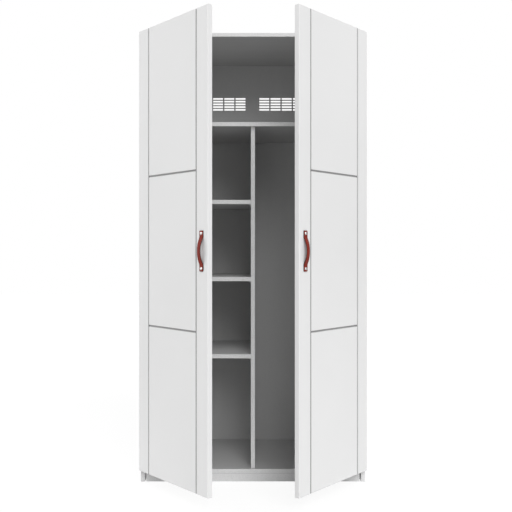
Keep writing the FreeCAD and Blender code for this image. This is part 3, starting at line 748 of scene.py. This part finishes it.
class WARDROBE_OT_carcass(bpy.types.Operator):
    """Finish the boards of the carcass"""

    bl_idname = "wardrobe.carcass"
    bl_label = "Carcass boards"

    def execute(self, context):
        finish, _, _ = settings()
        upright = melamine("melamine_upright", finish.board, finish.inside, "z")
        level = melamine("melamine_level", finish.board, finish.inside, "x")
        dress(("left_side_panel", "right_side_panel", "centre_divider", "back_panel"), upright)
        dress(("top_board", "upper_shelf", "bottom_board", "upper_small_shelf", "middle_small_shelf",
               "lower_small_shelf", "wall_rail", "plinth"), level)
        wood = softwood("softwood", (0.66, 0.47, 0.28))
        dress(("plinth_blocks", "board_dowels", "rail_dowels"), wood)
        return {"FINISHED"}


class WARDROBE_OT_doors(bpy.types.Operator):
    """Finish the doors"""

    bl_idname = "wardrobe.doors"
    bl_label = "Doors"

    def execute(self, context):
        finish, _, _ = settings()
        for side_name in SIDES:
            material = lacquer(side_name + "_door_lacquer", finish.lacquer, side_name)
            dress((side_name + "_door_panel",), material)
        return {"FINISHED"}


class WARDROBE_OT_straps(bpy.types.Operator):
    """Make the leather strap of each handle"""

    bl_idname = "wardrobe.straps"
    bl_label = "Handle straps"

    def execute(self, context):
        finish, handle, _ = settings()
        material = leather("handle_leather", finish.leather)
        for side_name in SIDES:
            strap = self.strap(side_name, handle)
            wear(strap, material)
            stand_for(strap, side_name + "_door", "red_brown_leather", side_name + "_handle_strap")
        return {"FINISHED"}

    def strap(self, side_name, handle):
        """A tapered strap with rounded edges and corners, bowed out between its two flat tabs."""
        low, high = shut_box(side_name + "_handle_strap", side_name)
        studs = [round_place(points)[0] for points in islands(side_name + "_handle_studs")]
        stud_gap = abs(studs[0].z - studs[1].z)
        length = high.z - low.z
        middle = (low + high) / 2
        door_face = high.y
        thick = 0.0028
        bow_half = stud_gap / 2 - 0.0105
        corner = 0.004
        rows, columns = 132, 12
        shape = bmesh.new()
        layer = shape.loops.layers.uv.new("UVMap")
        rings = []
        for row in range(rows + 1):
            # rows stand closer together towards the rounded ends
            along = length / 2 * math.sin(math.pi * 0.46 * (2 * row / rows - 1)) / math.sin(math.pi * 0.46)
            reach = min(abs(along) / bow_half, 1.0)
            lift = handle.bow * (1 - reach ** handle.flatness)
            # ease the strap out of its tab
            ease = max(0.0, 1 - abs(abs(along) - bow_half) / 0.007)
            lift += 0.0005 * ease * ease
            taper = 0.5 + 0.5 * math.cos(math.pi * min(abs(along) / (stud_gap / 2 - 0.004), 1.0))
            width = handle.tab_width + (handle.waist_width - handle.tab_width) * taper ** 0.8
            end = length / 2 - abs(along)
            if end < corner:
                width -= 2 * (corner - math.sqrt(max(corner ** 2 - (corner - end) ** 2, 0)))
            ring = []
            half = thick / 2
            # one turn round the section: across the face, round an edge, and back
            for step in range(2 * columns):
                angle = math.pi * (step + 0.5) / columns
                across = math.cos(angle)
                depth = math.sin(angle)
                flat = math.copysign(abs(across) ** 0.32, across)
                round_over = math.copysign(abs(depth) ** 0.42, depth)
                crown = 1 + 0.35 * (1 - flat * flat)
                x = middle.x + flat * width / 2
                y = door_face - half - lift - round_over * half * (crown if depth > 0 else 1)
                turn = (1 - flat) / 2 if depth > 0 else (3 + flat) / 2
                ring.append((Vector((x, y, middle.z + along)), (row / rows, turn)))
            rings.append(ring)
        verts = [[shape.verts.new(point) for point, _ in ring] for ring in rings]
        for row in range(rows):
            for step in range(2 * columns):
                after = (step + 1) % (2 * columns)
                corners = [(row, step), (row, after), (row + 1, after), (row + 1, step)]
                face = shape.faces.new([verts[r][c] for r, c in corners])
                for loop, (r, c) in zip(face.loops, corners):
                    u, v = rings[r][c][1]
                    loop[layer].uv = (u, v + 2 if after == 0 and c == 0 else v)
        for row in (0, rows):
            face = shape.faces.new(verts[row])
            for loop in face.loops:
                loop[layer].uv = (row / rows, 0)
        strap = finished(side_name + "_leather_strap", shape)
        strap.data.transform(door_swing(side_name))
        return strap


class WARDROBE_OT_studs(bpy.types.Operator):
    """Make the domed studs that hold the straps"""

    bl_idname = "wardrobe.studs"
    bl_label = "Handle studs"

    def execute(self, context):
        nickel = metal("stud_nickel", (0.66, 0.65, 0.64), 0.14, (1, 1, 1))
        for side_name in SIDES:
            node = side_name + "_handle_studs"
            low, high = shut_box(node, side_name)
            turn = door_swing(side_name)
            radius = (high.x - low.x) / 2
            rise = shut_box(side_name + "_handle_strap", side_name)[1].y - 0.0028 - low.y
            pattern = stud_pattern(radius, rise)
            outward = turn.to_3x3() @ Vector((0, -1, 0))
            middle_x = (low.x + high.x) / 2
            seat = shut_box(side_name + "_handle_strap", side_name)[1].y - 0.0027
            places = [(turn @ Vector((middle_x, seat, z)), outward)
                      for z in (low.z + radius, high.z - radius)]
            studs = set_fittings(side_name + "_studs", places, pattern, nickel)
            stand_for(studs, side_name + "_door", "satin_nickel", node)
            bpy.data.objects.remove(pattern)
        return {"FINISHED"}


class WARDROBE_OT_hinges(bpy.types.Operator):
    """Finish the hinge leaves and pins"""

    bl_idname = "wardrobe.hinges"
    bl_label = "Hinges"

    def execute(self, context):
        nickel = metal("hinge_nickel", (0.78, 0.77, 0.75), 0.4, (1, 1, 0.06))
        steel = metal("pin_steel", (0.66, 0.67, 0.69), 0.2, (1, 1, 0.06))
        for side_name in SIDES:
            dress((side_name + "_hinge_frame_leaves", side_name + "_hinge_door_leaves"), nickel)
            dress((side_name + "_hinge_pins", side_name + "_strike_plate"), steel)
        dress(("catch_magnets", "cam_bolts", "shelf_pins"), steel)
        return {"FINISHED"}


class WARDROBE_OT_screws(bpy.types.Operator):
    """Make the cross-recessed screws"""

    bl_idname = "wardrobe.screws"
    bl_label = "Screws"

    SCREWS = ("plinth_screws", "divider_screws", "back_panel_screws", "catch_screws",
              "left_hinge_frame_screws", "left_hinge_door_screws", "left_strike_screws",
              "left_handle_screws", "right_hinge_frame_screws", "right_hinge_door_screws",
              "right_strike_screws", "right_handle_screws")

    def execute(self, context):
        zinc = metal("screw_zinc", (0.60, 0.61, 0.64), 0.24, (1, 1, 1))
        for number, node in enumerate(self.SCREWS):
            found = [round_place(points) for points in islands(node)]
            _, _, head_radius, shank_radius, length = found[0]
            pattern = screw_pattern(head_radius, shank_radius, length, domed="handle" in node)
            places = [(point, way) for point, way, *_ in found]
            screws = set_fittings("cross_" + node, places, pattern, zinc, turn=math.tau, seed=number)
            stand_for(screws, body_of(node), "zinc_steel", node)
            bpy.data.objects.remove(pattern)
        return {"FINISHED"}


class WARDROBE_OT_cams(bpy.types.Operator):
    """Make the cam locks"""

    bl_idname = "wardrobe.cams"
    bl_label = "Cam locks"

    def execute(self, context):
        zinc = metal("cam_zinc", (0.56, 0.57, 0.59), 0.34, (1, 1, 1))
        places = []
        for points in islands("cam_locks"):
            low, high = points.min(0), points.max(0)
            middle = (low + high) / 2
            places.append((Vector((middle[0], middle[1], low[2])), Vector((0, 0, -1))))
            radius, height = (high[0] - low[0]) / 2, high[2] - low[2]
        pattern = cam_pattern(radius, height)
        cams = set_fittings("turned_cam_locks", places, pattern, zinc, turn=0.5, seed=3)
        stand_for(cams, "carcass", "zinc_steel", "cam_locks")
        bpy.data.objects.remove(pattern)
        return {"FINISHED"}


class WARDROBE_OT_soft_fittings(bpy.types.Operator):
    """Make the bumpers, and finish the catches and glides"""

    bl_idname = "wardrobe.soft_fittings"
    bl_label = "Bumpers, catches and glides"

    def execute(self, context):
        clear = silicone("bumper_silicone", (0.80, 0.81, 0.82))
        for side_name in SIDES:
            node = side_name + "_door_bumpers"
            low, high = shut_box(node, side_name)
            radius, height = (high.x - low.x) / 2, high.y - low.y
            pattern = bumper_pattern(radius, height)
            turn = door_swing(side_name)
            inward = turn.to_3x3() @ Vector((0, 1, 0))
            middle_x = (low.x + high.x) / 2
            places = [(turn @ Vector((middle_x, low.y, z)), inward)
                      for z in (low.z + radius, high.z - radius)]
            bumpers = set_fittings(side_name + "_bumpers", places, pattern, clear)
            stand_for(bumpers, side_name + "_door", "clear_silicone", node)
            bpy.data.objects.remove(pattern)
        dress(("catch_housings", "floor_glides"), plastic("white_plastic", (0.78, 0.78, 0.77), 0.42))
        return {"FINISHED"}


class WARDROBE_OT_stage(bpy.types.Operator):
    """Set the floor, the light and the camera"""

    bl_idname = "wardrobe.stage"
    bl_label = "Stage"

    def execute(self, context):
        _, _, stage = settings()
        self.floor()
        self.world(stage.world_light)
        self.lamp("key_light", stage.key_light, stage.key_bearing, stage.key_height, stage.softness)
        self.lamp("fill_light", stage.fill_light, stage.fill_bearing, stage.fill_height, stage.softness)
        self.card("front_card", Vector((0.35, -4.3, 1.0)), 1.6, 1.5)
        self.card("right_card", Vector((2.6, 0.9, 1.0)), 1.8, 1.8)
        self.camera(stage)
        bpy.context.scene.view_settings.view_transform = "Standard"
        return {"FINISHED"}

    def seen_directly(self, tree):
        """1 for a ray from the camera or off a shiny or clear surface."""
        rays = tree.nodes.new("ShaderNodeLightPath")
        total = (Value(tree, rays.outputs["Is Camera Ray"]) + Value(tree, rays.outputs["Is Glossy Ray"])
                 + Value(tree, rays.outputs["Is Transmission Ray"]))
        return total.math("MINIMUM", 1.0)

    def floor(self):
        """A pale floor that keeps a faint shadow."""
        shape = bmesh.new()
        reach = 14.0
        corners = [shape.verts.new((x, y, 0)) for x, y in
                   ((-reach, -reach), (reach, -reach), (reach, reach), (-reach, reach))]
        shape.faces.new(corners)
        floor = finished("floor", shape)
        if floor.data.polygons[0].normal.z < 0:
            floor.data.flip_normals()
        finish = Finish("floor_white")
        finish.set(Base_Color=(0.86, 0.86, 0.86, 1), Roughness=0.9)
        tree = finish.tree
        glow = finish.add("ShaderNodeEmission", Color=(1, 1, 1, 1), Strength=1.06)
        mixer = finish.add("ShaderNodeMixShader")
        plug(tree, mixer.inputs[0], self.seen_directly(tree) * 0.86)
        plug(tree, mixer.inputs[1], finish.shader.outputs[0])
        plug(tree, mixer.inputs[2], glow.outputs[0])
        plug(tree, finish.output.inputs["Surface"], mixer.outputs[0])
        wear(floor, finish.material)

    def card(self, name, place, width, height):
        """A dark card that only shiny metal sees, so that the round studs show their shape."""
        shape = bmesh.new()
        box_shape(shape, (-width / 2, -height / 2, 0), (width / 2, height / 2, 0.004))
        card = finished(name, shape, smooth=False)
        way = place - Vector((0, 0, place.z))
        turn = way.to_track_quat("Z", "Y").to_matrix().to_4x4()
        card.data.transform(Matrix.Translation(place) @ turn)
        finish = Finish(name)
        fibre = finish.noise(90, detail=2)
        finish.set(Base_Color=finish.mix(fibre, (0.02, 0.02, 0.02), (0.03, 0.03, 0.03)), Roughness=0.95)
        wear(card, finish.material)
        card.visible_camera = False
        card.visible_diffuse = False
        card.visible_shadow = False

    def world(self, strength):
        world = bpy.data.worlds.new("studio")
        bpy.context.scene.world = world
        world.use_nodes = True
        tree = world.node_tree
        tree.nodes.clear()
        direct = self.seen_directly(tree)
        light = tree.nodes.new("ShaderNodeBackground")
        light.inputs["Color"].default_value = (1, 1, 1, 1)
        plug(tree, light.inputs["Strength"], direct * (1.0 - strength) + strength)
        output = tree.nodes.new("ShaderNodeOutputWorld")
        tree.links.new(light.outputs[0], output.inputs["Surface"])

    def lamp(self, name, strength, bearing, height, softness):
        """A broad light with no falloff, from a bearing and a height."""
        data = bpy.data.lights.new(name, "SUN")
        data.energy = strength
        data.angle = softness
        lamp = new_object(name, data)
        way = Vector((math.sin(bearing) * math.cos(height), -math.cos(bearing) * math.cos(height),
                      math.sin(height)))
        lamp.rotation_euler = way.to_track_quat("Z", "Y").to_euler()

    def camera(self, stage):
        data = bpy.data.cameras.new("view")
        data.sensor_width = 36.0
        data.lens = 52.03
        data.shift_x = 0.0137
        data.shift_y = -0.0103
        camera = new_object("view", data)
        camera.location = (stage.view_offset, FRONT - stage.view_distance, stage.view_height)
        camera.rotation_euler = (math.pi / 2, 0, 0)
        bpy.context.scene.camera = camera


class WARDROBE_PT_panel(bpy.types.Panel):
    """Lists the wardrobe's pieces and settings"""

    bl_idname = "WARDROBE_PT_panel"
    bl_label = "Wardrobe"
    bl_space_type = "VIEW_3D"
    bl_region_type = "UI"
    bl_category = "Wardrobe"

    def draw(self, context):
        for group in settings():
            column = self.layout.column()
            for name in group.bl_rna.properties.keys():
                if name not in ("rna_type", "name"):
                    column.prop(group, name)
        for operator in PIECES:
            self.layout.operator(operator.bl_idname)


SETTINGS = {
    "wardrobe_finish": FinishSettings,
    "wardrobe_handle": HandleSettings,
    "wardrobe_stage": StageSettings,
}
PIECES = (
    WARDROBE_OT_carcass,
    WARDROBE_OT_doors,
    WARDROBE_OT_straps,
    WARDROBE_OT_studs,
    WARDROBE_OT_hinges,
    WARDROBE_OT_screws,
    WARDROBE_OT_cams,
    WARDROBE_OT_soft_fittings,
    WARDROBE_OT_stage,
)


def register():
    for name, group in SETTINGS.items():
        bpy.utils.register_class(group)
        setattr(bpy.types.Scene, name, bpy.props.PointerProperty(type=group))
    for operator in PIECES:
        bpy.utils.register_class(operator)
    bpy.utils.register_class(WARDROBE_PT_panel)


def unregister():
    bpy.utils.unregister_class(WARDROBE_PT_panel)
    for operator in reversed(PIECES):
        bpy.utils.unregister_class(operator)
    for name, group in SETTINGS.items():
        delattr(bpy.types.Scene, name)
        bpy.utils.unregister_class(group)


def main():
    register()
    for operator in PIECES:
        family, piece = operator.bl_idname.split(".")
        getattr(getattr(bpy.ops, family), piece)()


if __name__ == "__main__":
    main()
